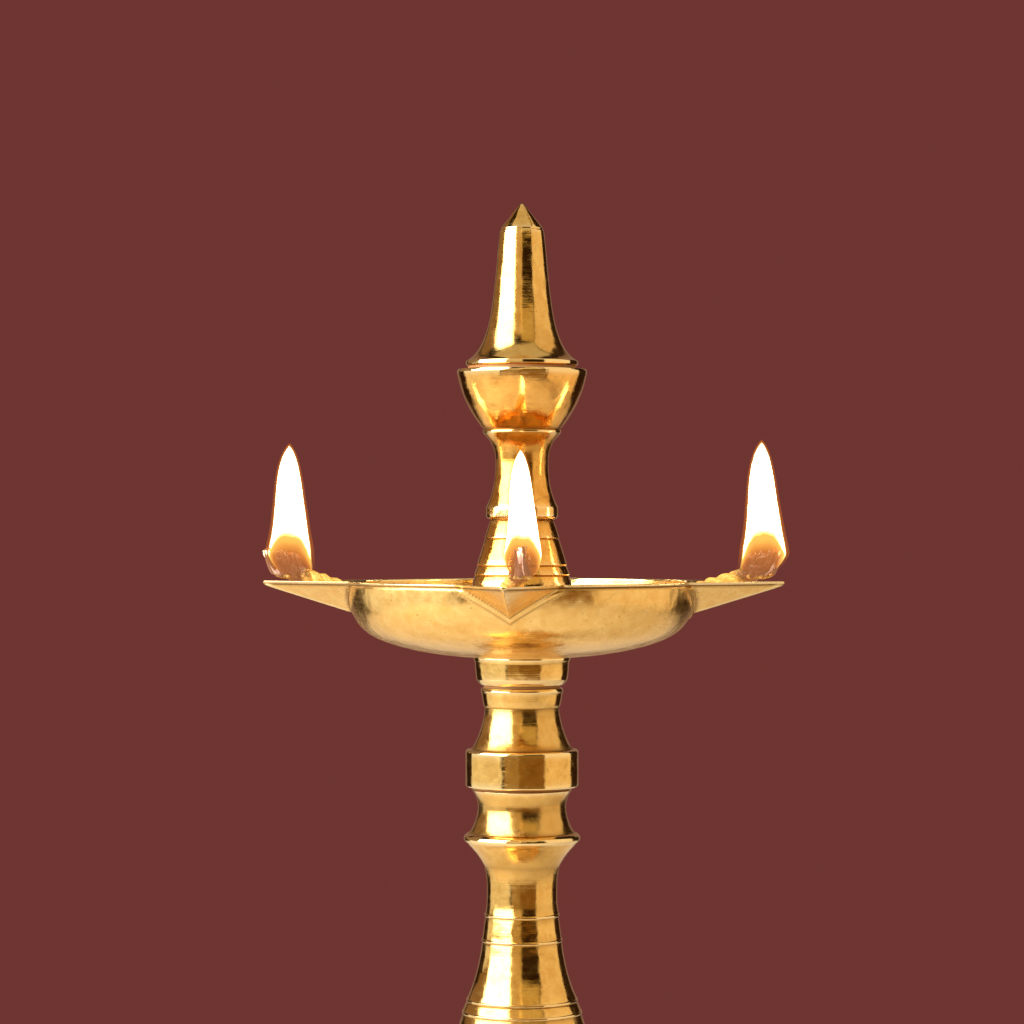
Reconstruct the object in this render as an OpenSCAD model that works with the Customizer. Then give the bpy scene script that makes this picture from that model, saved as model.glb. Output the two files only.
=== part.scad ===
// Brass standing oil lamp. Turned brass sections screw together on threaded studs, and
// carry an oil bowl with four pointed spouts and a tall finial with a pot-shaped cup.
// The lamp stands on z = 0 and its axis is Z. The spouts point along X and Y.

/* [Base] */
// Radius of the foot
base_r = 66; // [62:1:74]
// Height of the base
base_h = 70; // [68:1:80]
// Wall of the hollow base
base_wall = 3; // [2.5:0.5:3.5]

/* [Stem] */
// Height of the lower stem section
lower_h = 75.2; // [74:0.2:90]
// Height of the middle stem section
middle_h = 75.3; // [74.5:0.1:84]
// Height of the upper stem section
upper_h = 26.7; // [26.5:0.1:30]
// Radius of the middle section's foot
foot_r = 21; // [20.5:0.5:23]
// Radius of the sharp bead on the middle section
bead_r = 15.8; // [15.4:0.2:18]
// Radius of the wide collar on the upper section
collar_r = 15.25; // [15:0.25:17]
// Thickness of the washer in each seam
seam_t = 0.8; // [0.6:0.1:1]

/* [Bowl] */
// Radius of the bowl at its rim
bowl_r = 47.25; // [46.5:0.25:49]
// Depth of the bowl outside
bowl_depth = 20.5; // [20.5:0.5:23]
// Thickness of the bowl's floor
floor_t = 2; // [1.5:0.1:2.5]
// Distance from the axis to a spout's tip
spout_reach = 71; // [69:0.5:74]
// Half the width of a spout where it leaves the bowl
spout_half_w = 14.5; // [14:0.5:16]
// Fall of a spout's keel for each millimetre towards the bowl
keel_slope = 0.31; // [0.3:0.01:0.34]
// Height of the ring under the bowl
seat_h = 7.6; // [7.2:0.1:9]

/* [Finial] */
// Height of the finial's column and cup
column_h = 74.9; // [74.6:0.1:80]
// Radius of the cup's rim
cup_r = 17.6; // [17:0.1:19]
// Height of the spire
spire_h = 44; // [43.4:0.1:48]

/* [Studs] */
// Radius of the stem studs over their thread
stud_r = 5; // [4.5:0.1:5.2]
// Radius of the spire's stud over its thread
spire_stud_r = 4; // [3.5:0.1:4.2]
// Depth to which a stud is fixed in its section
stud_hold = 14; // [10:1:15]
// Height of a stud above its section
stud_rise = 14; // [12:1:15]

/* [Wicks] */
// Radius of a wick
wick_r = 3; // [2:0.1:3]
// Distance from the axis to a wick's inner end
wick_start = 27; // [26:0.5:32]
// Slope of a wick along its spout, in degrees
wick_slope = 18.4; // [17:0.1:19]
// Angle at which a wick's lit end stands up
wick_lift = 62; // [40:1:75]

/* [Hidden] */

brass = "goldenrod";
old_brass = "darkgoldenrod";
fibre = "saddlebrown";
cotton = "antiquewhite";

// faces round a turned part, and straight steps in one curved stretch of its outline
round_fn = 96;
curve_steps = 9;
// play between a stud and a part that turns on it
fit = 0.05;
// play between a stud and a loose ring on it
slip = 0.1;
// room past a stud's free end
end_room = 1.2;
// overlap that makes a cut clean
cut = 1;

// heights at which the parts stand
lower_z = base_h + seam_t;
middle_z = lower_z + lower_h + seam_t;
upper_z = middle_z + middle_h + seam_t;
seat_z = upper_z + upper_h + seam_t;
bowl_z = seat_z + seat_h;
rim_z = bowl_z + bowl_depth;
column_z = bowl_z + floor_t + seam_t;
spire_z = column_z + column_h + seam_t;

// lengths along the top stud, which passes through the ring, the bowl and a washer
top_hold = 10;
top_stud_end = column_z + stud_rise;
spire_rise = 11.8;

// bowl: rim wall, lip, and the spouts' walls
rim_wall = 1.3;
lip_out = 0.45;
lip_t = 0.9;
spout_wall = 1.15;
keel_wall = 1.4;
// a spout's outline starts here, and swells by this share before it narrows to its tip
spout_root = 44;
spout_swell = 0.35;
// how far short of its tip a spout's metal ends, and its channel ends
tip_gap = 0.4;
channel_gap = 2.4;
spout_steps = 12;

// wick: height of its centre over the rim where it leaves the bowl, bend and end
wick_mouth = 47;
wick_drop = 3.1;
wick_straight = 60;
wick_bend_r = 9;
wick_end = 3.5;
wick_sides = 12;
wick_bend_steps = 6;

// ---- outlines ----

// A stretch of an outline from one point to the next. Two numbers are a straight run to
// [radius, height]. Four are a curve, which bends towards the corner in the last two.
function stretch(a, b) =
    len(b) == 2
        ? [b]
        : [for (i = [1:curve_steps])
            let (t = i / curve_steps)
            [a[0] * (1 - t) ^ 2 + 2 * b[2] * t * (1 - t) + b[0] * t ^ 2,
             a[1] * (1 - t) ^ 2 + 2 * b[3] * t * (1 - t) + b[1] * t ^ 2]];

// All the points of an outline, from the axis and back to it.
function outline(path) =
    concat([path[0]], [for (i = [1:len(path) - 1]) each stretch(path[i - 1], path[i])]);

// A fine line cut round a part at radius r and height z.
function scribed(r, z) = [[r, z - 0.25], [r - 0.3, z], [r, z + 0.25]];

// A narrow raised ring that stands 0.25 mm off radius r.
function ridge(r, z) = [[r, z - 0.45], [r + 0.25, z - 0.25], [r + 0.25, z + 0.25], [r, z + 0.45]];

// ---- shared shapes ----

module turned(z, path) {
    translate([0, 0, z])
        rotate_extrude($fn = round_fn)
            polygon(outline(path));
}

module rod(r, low, high) {
    translate([0, 0, low])
        cylinder(r = r, h = high - low, $fn = round_fn);
}

// A stud with a short chamfer at each end.
module stud(r, low, high) {
    chamfer = 0.8;
    turned(low, [
        [0, 0], [r - chamfer, 0], [r, chamfer],
        [r, high - low - chamfer], [r - chamfer, high - low], [0, high - low]
    ]);
}

module washer(r, hole, z) {
    difference() {
        rod(r, z, z + seam_t);
        rod(hole, z - cut, z + seam_t + cut);
    }
}

// A closed skin through rings of points that all have the same number of points.
module loft(rings) {
    n = len(rings[0]);
    last = len(rings) - 1;
    polyhedron(
        points = [for (ring = rings) each ring],
        faces = concat(
            [[for (j = [0:n - 1]) j]],
            [for (i = [0:last - 1])
                for (j = [0:n - 1])
                    [i * n + j, (i + 1) * n + j, (i + 1) * n + (j + 1) % n, i * n + (j + 1) % n]],
            [[for (j = [n - 1:-1:0]) last * n + j]]
        )
    );
}

// ---- base and stem ----

module base() {
    crown = 50;
    foot_band = 5.2;
    color(old_brass)
        difference() {
            turned(0, [
                [0, 0], [base_r - 0.8, 0], [base_r, 0.8], [base_r, foot_band],
                [base_r - 2.6, 6.8, base_r, 6.8],
                [base_r - 3.4, 7.2],
                [base_r - 3.4, 11.2, base_r - 0.4, 9.2],
                [base_r - 5.4, 11.6], [base_r - 5.4, 12.8],
                [45, 25.5, base_r - 8, 23],
                [44.2, 26], [44.2, 27.4],
                [27, 42, 31, 29],
                [26.2, 42.4], [27.4, 43.2], [27.4, 45.4], [26.2, 46.2],
                [18.4, 57, 19.4, 47.5],
                [19.6, 57.4], [20, 58], [20, 60], [19.6, 60.6], [16.8, 60.8],
                [17.6, base_h - 0.6, 15.4, 66],
                [17, base_h], [0, base_h]
            ]);
            turned(-cut, [
                [0, 0], [base_r - base_wall - 1, 0], [base_r - base_wall - 1, cut],
                [base_r - base_wall - 5.5, 12 + cut],
                [41.5, 23.5 + cut, base_r - base_wall - 9, 20.5 + cut],
                [22, 39 + cut, 28.5, 26.5 + cut],
                [8, crown + cut, 14, crown - 1],
                [0, crown + cut]
            ]);
            rod(stud_r, base_h - stud_hold - end_room, base_h + cut);
        }
}

module base_stud() {
    color(old_brass)
        stud(stud_r, base_h - stud_hold, base_h + stud_rise);
}

module base_washer() {
    color(fibre)
        washer(15.6, stud_r + slip, base_h);
}

module stem_lower() {
    color(brass)
        difference() {
            turned(lower_z, [
                [0, 0], [17.4, 0], [18, 0.6], [18, 3.2], [17.4, 3.8], [16, 3.8],
                [12.4, 14, 12.6, 6.5],
                [16.8, 25.5, 12.6, 21],
                each scribed(17.6, 27),
                [16.6, 41, 21.6, 34],
                [11.4, 54, 12.2, 45.5],
                [11.4, 55.4], [12.6, 55.6],
                [12.6, 58.6, 15.6, 57.1],
                [11.6, 58.8],
                [15.4, 67.4, 11.8, 64],
                [17.2, 67.6], [17.8, 68.2], [17.8, 70.8], [17.2, 71.4], [16.2, 71.6],
                [16.8, lower_h], [0, lower_h]
            ]);
            rod(stud_r + fit, lower_z - cut, base_h + stud_rise + end_room);
            rod(stud_r, lower_z + lower_h - stud_hold - end_room, lower_z + lower_h + cut);
        }
}

module lower_stud() {
    top = lower_z + lower_h;
    color(old_brass)
        stud(stud_r, top - stud_hold, top + stud_rise);
}

module lower_washer() {
    color(fibre)
        washer(15.4, stud_r + slip, lower_z + lower_h);
}

module stem_middle() {
    color(brass)
        difference() {
            turned(middle_z, [
                [0, 0], [foot_r - 0.6, 0], [foot_r, 0.6], [foot_r, 3.2], [foot_r - 0.6, 3.8],
                [19.2, 3.8],
                [19.2, 7, 21.4, 5.4],
                [18.1, 7.2],
                [16.1, 14.6, 17.4, 11],
                each ridge(16, 15.3),
                [15.1, 17.9],
                each ridge(14.8, 18.6),
                [10.8, 34, 11.9, 25.2],
                each ridge(10.7, 34.7),
                [9.95, 40.8, 10.3, 38],
                each ridge(9.9, 41.5),
                [9.55, 44.5], [9.5, 48],
                [10.2, 54.7, 9.4, 51.8],
                [14.4, 60.4, 11.4, 57.4],
                [bead_r - 1, 60.9],
                [bead_r - 0.2, 61.6], [bead_r, 62.2], [bead_r - 0.2, 62.9], [bead_r - 0.9, 63.5],
                [14.2, 63.8],
                [11.9, 70.2, 12.3, 66.4],
                [13.5, middle_h, 11.8, 73],
                [0, middle_h]
            ]);
            rod(stud_r + fit, middle_z - cut, lower_z + lower_h + stud_rise + end_room);
            rod(stud_r, middle_z + middle_h - stud_hold - end_room, middle_z + middle_h + cut);
        }
}

module middle_stud() {
    top = middle_z + middle_h;
    color(old_brass)
        stud(stud_r, top - stud_hold, top + stud_rise);
}

module middle_washer() {
    color(fibre)
        washer(12.7, stud_r + slip, middle_z + middle_h);
}

module stem_upper() {
    color(brass)
        difference() {
            turned(upper_z, [
                [0, 0], [collar_r - 0.35, 0], [collar_r, 0.35], [collar_r, 9.2],
                [collar_r - 0.8, 10.1, collar_r, 10.1],
                [13.6, 10.2],
                [10.2, 19.6, 11.2, 14],
                [10.05, 21.4], [10.35, 21.9],
                [11, 25.4], [11.2, 25.9], [10.9, upper_h], [0, upper_h]
            ]);
            rod(stud_r + fit, upper_z - cut, middle_z + middle_h + stud_rise + end_room);
            rod(stud_r, upper_z + upper_h - top_hold, upper_z + upper_h + cut);
        }
}

// One long stud clamps the ring, the bowl and the finial to the stem.
module top_stud() {
    color(old_brass)
        stud(stud_r, upper_z + upper_h - top_hold + 0.4, top_stud_end);
}

module bowl_washer() {
    color(fibre)
        washer(10.3, stud_r + slip, upper_z + upper_h);
}

// ---- bowl ----

// The turned ring fixed under the bowl.
module bowl_collar() {
    color(brass)
        difference() {
            turned(seat_z, [
                [0, 0], [11.1, 0], [11.8, 0.7], [12.3, 1.5],
                [12.75, seat_h - 1.5, 12.6, 3.2],
                [13.1, seat_h - 0.6], [13.1, seat_h], [0, seat_h]
            ]);
            rod(stud_r + slip, seat_z - cut, seat_z + seat_h + cut);
        }
}

// Outside half-width of a spout, and the depth of its keel, at distance x from the axis.
function spout_share(x) = (x - spout_root) / (spout_reach - spout_root);
function spout_w(x) = spout_half_w * (1 - spout_share(x)) * (1 + spout_swell * spout_share(x));
function spout_d(x) = lip_t + keel_slope * (spout_reach - x);

// Distances from the axis at which a spout is cut into slices.
function spout_cuts(from, to) = [for (i = [0:spout_steps]) from + (to - from) * i / spout_steps];

// The outside of a spout along +X: a vee with a thin lip along its top edges.
module spout_outside() {
    start = 40;
    loft([
        for (x = spout_cuts(start, spout_reach - tip_gap))
            let (w = spout_w(x), d = spout_d(x), under = w * (1 - lip_t / d))
            [[x, -w - lip_out, 0], [x, -w - lip_out, -lip_t], [x, -under, -lip_t], [x, 0, -d],
             [x, under, -lip_t], [x, w + lip_out, -lip_t], [x, w + lip_out, 0]]
    ]);
}

// The channel in a spout, which runs through the bowl's wall.
module spout_inside() {
    start = 36;
    loft([
        for (x = spout_cuts(start, spout_reach - channel_gap))
            let (w = spout_w(x) - spout_wall, d = spout_d(x) - keel_wall)
            [[x, -w, cut], [x, -w, 0], [x, 0, -d], [x, w, 0], [x, w, cut]]
    ]);
}

module bowl() {
    foot = 15;
    color(brass)
        difference() {
            union() {
                turned(rim_z, [
                    [0, -bowl_depth], [foot, -bowl_depth],
                    [39.2, -15.4, 31, -19.2],
                    [bowl_r, -lip_t - 0.3, bowl_r - 0.3, -11.8],
                    [bowl_r + lip_out, -lip_t], [bowl_r + lip_out, 0], [0, 0]
                ]);
                for (side = [0:3])
                    rotate([0, 0, 90 * side])
                        translate([0, 0, rim_z])
                            spout_outside();
            }
            turned(rim_z, [
                [0, floor_t - bowl_depth], [16, floor_t - bowl_depth],
                [38.2, -14.2, 30.5, -17.6],
                [bowl_r - rim_wall, -0.6, bowl_r - 1.7, -11],
                [bowl_r - rim_wall, cut], [0, cut]
            ]);
            for (side = [0:3])
                rotate([0, 0, 90 * side])
                    translate([0, 0, rim_z])
                        spout_inside();
            rod(stud_r + slip, bowl_z - cut, bowl_z + floor_t + cut);
        }
}

// ---- finial ----

module finial_washer() {
    color(fibre)
        washer(15.8, stud_r + slip, bowl_z + floor_t);
}

module finial_column() {
    color(brass)
        difference() {
            turned(column_z, [
                [0, 0], [17, 0], [17.5, 0.5], [17.5, 1.7], [17, 2.2], [15.6, 2.2],
                [13.5, 17, 14.2, 8],
                each scribed(12.9, 19.2),
                each scribed(12.2, 21.8),
                each scribed(10.1, 29.1),
                [8.7, 33.7], [8.4, 34.2],
                [9.4, 34.6], [9.7, 35.1], [9.7, 37.6], [9.4, 38.2],
                [7.2, 47, 7.7, 41.5],
                [7.15, 50.4],
                [8.9, 55.8, 7.3, 53.5],
                [10.2, 57.3], [10.6, 57.8], [10.6, 58.3], [10.3, 58.6],
                [cup_r - 0.1, 73.6, 15.9, 65.2],
                [cup_r, 74.2], [cup_r - 0.3, column_h], [0, column_h]
            ]);
            rod(stud_r + fit, column_z - cut, top_stud_end + end_room);
            rod(spire_stud_r, column_z + column_h - stud_hold, column_z + column_h + cut);
        }
}

module spire_stud() {
    top = column_z + column_h;
    color(old_brass)
        stud(spire_stud_r, top - stud_hold + end_room, top + spire_rise);
}

module spire_washer() {
    color(fibre)
        washer(14.6, spire_stud_r + slip, column_z + column_h);
}

module finial_spire() {
    color(brass)
        difference() {
            turned(spire_z, [
                [0, 0], [14.7, 0], [15.2, 0.4], [15.15, 1.4], [14.7, 1.6],
                [8.95, 11.7, 10.8, 3.9],
                [6.5, 31.5, 7.675, 16.8],
                [5.95, 36.6], [5.7, 36.9], [5.7, 37.3],
                [0.9, spire_h - 0.6],
                [0, spire_h, 0.4, spire_h - 0.05]
            ]);
            rod(spire_stud_r + fit, spire_z - cut, column_z + column_h + spire_rise + end_room);
        }
}

// ---- wicks ----

// One ring of a wick: centre [distance from the axis, height over the rim], the way the
// wick runs there in degrees, and its radius.
function wick_ring(at, run, r) =
    [for (j = [0:wick_sides - 1])
        let (a = 360 * j / wick_sides)
        [at[0] - r * sin(a) * sin(run), r * cos(a), at[1] + r * sin(a) * cos(run)]];

// The point of a wick's straight part at distance x from the axis.
function wick_at(x) = [x, (x - wick_mouth) * tan(wick_slope) - wick_drop];

// A point of the bend, where the wick has turned up to the angle run.
function wick_bend(run) =
    wick_at(wick_straight)
        + wick_bend_r * [sin(run) - sin(wick_slope), cos(wick_slope) - cos(run)];

// A wick in the spout along +X. It swells where its strands open, and narrows to its lit end.
module wick() {
    swell = 1.12;
    lit = 0.75;
    tip = wick_bend(wick_lift) + wick_end * [cos(wick_lift), sin(wick_lift)];
    color(cotton)
        translate([0, 0, rim_z])
            loft(concat(
                [wick_ring(wick_at(wick_start), wick_slope, 0.6 * wick_r),
                 wick_ring(wick_at(wick_start + 1), wick_slope, wick_r)],
                [for (i = [0:wick_bend_steps])
                    let (share = i / wick_bend_steps, run = wick_slope + (wick_lift - wick_slope) * share)
                    wick_ring(wick_bend(run), run, wick_r * (1 + (swell - 1) * share))],
                [wick_ring(tip, wick_lift, lit * wick_r)]
            ));
}

base();
base_stud();
base_washer();
stem_lower();
lower_stud();
lower_washer();
stem_middle();
middle_stud();
middle_washer();
stem_upper();
top_stud();
bowl_washer();
bowl_collar();
bowl();
finial_washer();
finial_column();
spire_stud();
spire_washer();
finial_spire();
wick();  // wick_right
rotate([0, 0, 90]) wick();  // wick_back
rotate([0, 0, 180]) wick();  // wick_left
rotate([0, 0, 270]) wick();  // wick_front
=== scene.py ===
from math import cos, pi, radians, sin, tan

import bpy
import numpy as np
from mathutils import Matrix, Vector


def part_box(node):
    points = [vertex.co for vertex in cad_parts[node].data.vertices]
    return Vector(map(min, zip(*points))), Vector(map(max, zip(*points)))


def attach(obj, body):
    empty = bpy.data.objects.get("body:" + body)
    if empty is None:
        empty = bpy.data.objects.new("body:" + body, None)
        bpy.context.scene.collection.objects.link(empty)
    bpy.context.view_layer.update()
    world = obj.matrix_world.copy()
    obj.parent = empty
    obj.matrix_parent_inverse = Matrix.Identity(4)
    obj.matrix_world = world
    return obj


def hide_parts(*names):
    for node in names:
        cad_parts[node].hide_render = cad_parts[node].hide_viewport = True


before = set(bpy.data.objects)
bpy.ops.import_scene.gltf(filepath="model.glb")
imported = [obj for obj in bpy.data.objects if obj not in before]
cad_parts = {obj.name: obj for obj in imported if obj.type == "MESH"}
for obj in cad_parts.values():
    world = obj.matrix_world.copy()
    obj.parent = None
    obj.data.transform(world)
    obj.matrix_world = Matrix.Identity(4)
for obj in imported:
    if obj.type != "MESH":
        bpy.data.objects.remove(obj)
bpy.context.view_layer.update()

# Lengths inside this script are in millimetres, and become metres when a mesh is made.
MM = 0.001
# the height of the bowl's rim, from the CAD
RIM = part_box("bowl")[1].z / MM
# points round a turned piece
ROUND = 128
SPOUT_TURNS = {"right": 0, "back": 90, "left": 180, "front": 270}


# ---- meshes ----

def grid_faces(rows, cols, close_rows=False, first=0):
    """Faces between rows of points that each go once round."""
    row = np.arange(rows if close_rows else rows - 1)
    a, b = np.meshgrid(row, np.arange(cols), indexing="ij")
    a2 = (a + 1) % rows
    b2 = (b + 1) % cols
    corners = [a * cols + b, a * cols + b2, a2 * cols + b2, a2 * cols + b]
    return (first + np.stack(corners, -1).reshape(-1, 4)).tolist()


def add_piece(name, points, faces, attributes, material, body, nodes=()):
    """A smooth mesh from points in millimetres, which rides on a body and stands for some CAD nodes."""
    mesh = bpy.data.meshes.new(name)
    mesh.from_pydata((np.asarray(points, float) * MM).tolist(), [], faces)
    mesh.polygons.foreach_set("use_smooth", [True] * len(mesh.polygons))
    for key, values in attributes.items():
        layer = mesh.attributes.new(key, "FLOAT", "POINT")
        layer.data.foreach_set("value", np.asarray(values, np.float32))
    mesh.update()
    piece = bpy.data.objects.new(name, mesh)
    bpy.context.scene.collection.objects.link(piece)
    piece.data.materials.append(material)
    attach(piece, body)
    if nodes:
        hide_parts(*nodes)
    return piece


def bend(t, a, corner, b):
    """Points at shares t of a curve that bends from a towards a corner and on to b."""
    return a * (1 - t) ** 2 + 2 * corner * t * (1 - t) + b * t ** 2


def curve(a, corner, b, steps):
    """Such a curve in even steps, without a itself."""
    t = np.linspace(0, 1, steps + 1)[1:, None]
    return bend(t, np.array(a), np.array(corner), np.array(b))


def rotate(x, y, turn):
    """x and y turned about the axis by an angle in degrees."""
    a = radians(turn)
    return x * cos(a) - y * sin(a), x * sin(a) + y * cos(a)


# ---- outlines of the turned parts, taken from the CAD ----

def seam_links(node):
    """Which points of a turned node's outline follow each other, as {point: neighbours}, in micrometres."""
    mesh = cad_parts[node].data
    co = np.empty(len(mesh.vertices) * 3)
    mesh.vertices.foreach_get("co", co)
    co = co.reshape(-1, 3)
    ends = np.empty(len(mesh.edges) * 2, int)
    mesh.edges.foreach_get("vertices", ends)
    on_seam = (np.abs(co[:, 1]) < 1e-6) & (co[:, 0] > -1e-6)
    keys = np.round(co[:, [0, 2]] * 1e6).astype(int)
    links = {}
    for a, b in ends.reshape(-1, 2):
        if on_seam[a] and on_seam[b]:
            p, q = tuple(keys[a]), tuple(keys[b])
            if p != q:
                links.setdefault(p, set()).add(q)
                links.setdefault(q, set()).add(p)
    return links


def outline_of(node):
    """A turned node's outline in millimetres, going up its outside, and whether it closes on itself."""
    links = seam_links(node)
    loose = {}
    for p in sorted(links):
        if len(links[p]) == 1 and p[0] > 1:
            loose.setdefault(p[1], []).append(p)
    for z, points in loose.items():
        if len(points) % 2:
            points.insert(0, (0, z))
            links[(0, z)] = set()
        for p, q in zip(points[::2], points[1::2]):
            links[p].add(q)
            links[q].add(p)
    ends = sorted(p for p in links if len(links[p]) == 1)
    walk = [ends[0] if ends else min(links)]
    before = None
    while True:
        onward = sorted(q for q in links[walk[-1]] if q != before)
        before = walk[-1]
        if not onward or onward[0] == walk[0]:
            break
        walk.append(onward[0])
    path = np.array(walk) / 1000.0
    r, z = path.T
    area = np.sum(r * np.roll(z, -1) - np.roll(r, -1) * z)
    return (path if area > 0 else path[::-1]), not ends


def turning(path, closed):
    """Signed angle by which an outline turns at each point; positive at an outer edge."""
    ahead = np.roll(path, -1, 0) - path
    heading = np.arctan2(ahead[:, 1], ahead[:, 0])
    turn = (heading - np.roll(heading, 1) + pi) % (2 * pi) - pi
    if not closed:
        turn[[0, -1]] = 0
    return turn


def straighten(path, closed):
    """Leaves out points that lie on a straight run."""
    keep = np.abs(turning(path, closed)) > radians(0.4)
    if not closed:
        keep[[0, -1]] = True
    return path[keep]


def finished_outline(path, closed, step):
    """The outline as a lathe leaves it: curves run smoothly, and edges are broken by a small radius."""
    soft_turn = radians(24)
    edge_cut = 0.2
    groove_cut = 0.1
    path = straighten(path, closed)
    count = len(path)
    turn = turning(path, closed)
    before = np.roll(path, 1, 0)
    after = np.roll(path, -1, 0)
    soft = np.abs(turn) < soft_turn
    if not closed:
        soft[[0, -1]] = False
    out = []
    for i in range(count if closed else count - 1):
        j = (i + 1) % count
        a, b = path[i], path[j]
        length = np.linalg.norm(b - a)
        way = (b - a) / length
        # room that a broken edge takes at each end
        cuts = []
        for k, neighbour in ((i, before[i]), (j, after[j])):
            at_end = not closed and k in (0, count - 1)
            other = np.linalg.norm(neighbour - path[k])
            size = edge_cut if turn[k] > 0 else groove_cut
            cuts.append(0 if soft[k] or at_end else min(size, 0.35 * length, 0.35 * other))
        start = a + way * cuts[0]
        end = b - way * cuts[1]
        tangent_a = way
        tangent_b = way
        if soft[i]:
            tangent_a = (after[i] - before[i]) / np.linalg.norm(after[i] - before[i])
        if soft[j]:
            tangent_b = (after[j] - before[j]) / np.linalg.norm(after[j] - before[j])
        run = np.linalg.norm(end - start)
        pieces = max(1, int(np.ceil(run / step)), 2 if soft[i] or soft[j] else 1)
        t = (np.arange(pieces + (0 if soft[j] else 1)) / pieces)[:, None]
        out.append(start * (2 * t ** 3 - 3 * t ** 2 + 1) + tangent_a * run * (t ** 3 - 2 * t ** 2 + t)
                   + end * (3 * t ** 2 - 2 * t ** 3) + tangent_b * run * (t ** 3 - t ** 2))
        if not soft[j] and cuts[1] > 0:
            ahead = after[j] - b
            onward = b + ahead / np.linalg.norm(ahead) * cuts[1]
            out.append(curve(end, b, onward, 4)[:-1])
    if not closed:
        out.append(path[-1:])
    return np.concatenate(out)


def hollowness(path, closed, width):
    """How far the outline lies inside its own smoothed shape: positive in a groove, negative on an edge."""
    fine = 0.2
    ring = np.vstack([path, path[:1]]) if closed else path
    length = np.concatenate([[0], np.cumsum(np.linalg.norm(np.diff(ring, axis=0), axis=1))])
    along = np.arange(0, length[-1], fine)
    even = np.stack([np.interp(along, length, ring[:, k]) for k in (0, 1)], 1)
    reach = int(3 * width / fine)
    weights = np.exp(-0.5 * (np.arange(-reach, reach + 1) * fine / width) ** 2)
    weights /= weights.sum()
    padded = np.pad(even, ((reach, reach), (0, 0)), mode="wrap" if closed else "reflect")
    smooth = np.stack([np.convolve(padded[:, k], weights, "valid") for k in (0, 1)], 1)
    way = np.gradient(even, axis=0)
    normal = np.stack([way[:, 1], -way[:, 0]], 1) / np.linalg.norm(way, axis=1)[:, None]
    inward = np.sum((smooth - even) * normal, 1)
    return np.interp(length[:len(path)], along, inward)


def lathe(name, node, material, body, step=0.8, around=ROUND):
    """A turned piece on the outline of its CAD node."""
    rough_path, closed = outline_of(node)
    path = finished_outline(rough_path, closed, step)
    narrow = hollowness(path, closed, 1.0)
    wide = hollowness(path, closed, 4.0)
    tarnish = np.clip(narrow / 0.22, 0, 1) * 0.8 + np.clip(wide / 1.6, 0, 1) * 0.45
    # edges that stand out are marked brighter: partly wear, partly a painted highlight
    wear_and_highlight = np.clip(-narrow / 0.2, 0, 1)
    ahead = np.roll(path, -1, 0) - np.roll(path, 1, 0)
    facing_axis = np.clip(-ahead[:, 1] / (np.linalg.norm(ahead, axis=1) + 1e-9) * 4, 0, 1)
    poles = [] if closed else [k for k in (0, -1) if path[k][0] < 0.001]
    first = 1 if 0 in poles else 0
    last = len(path) - (1 if -1 in poles else 0)
    rings = path[first:last]
    angle = np.arange(around) * 2 * pi / around
    x = rings[:, :1] * np.cos(angle)
    y = rings[:, :1] * np.sin(angle)
    z = np.repeat(rings[:, 1:], around, 1)
    points = np.stack([x, y, z], -1).reshape(-1, 3)
    faces = grid_faces(len(rings), around, closed)
    values = [np.repeat(v[first:last], around) for v in (tarnish, wear_and_highlight, facing_axis)]
    for pole in poles:
        hub = len(points)
        points = np.vstack([points, [0, 0, path[pole][1]]])
        values = [np.append(v, v[0] if pole == 0 else v[-1]) for v in values]
        row = 0 if pole == 0 else (len(rings) - 1) * around
        for k in range(around):
            pair = [row + k, row + (k + 1) % around]
            faces.append([hub, *(pair[::-1] if pole == 0 else pair)])
    attributes = {"tarnish": np.clip(values[0], 0, 1), "wear_and_highlight": values[1], "inside": values[2]}
    return add_piece(name, points, faces, attributes, material, body, [node])


# ---- materials ----

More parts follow.
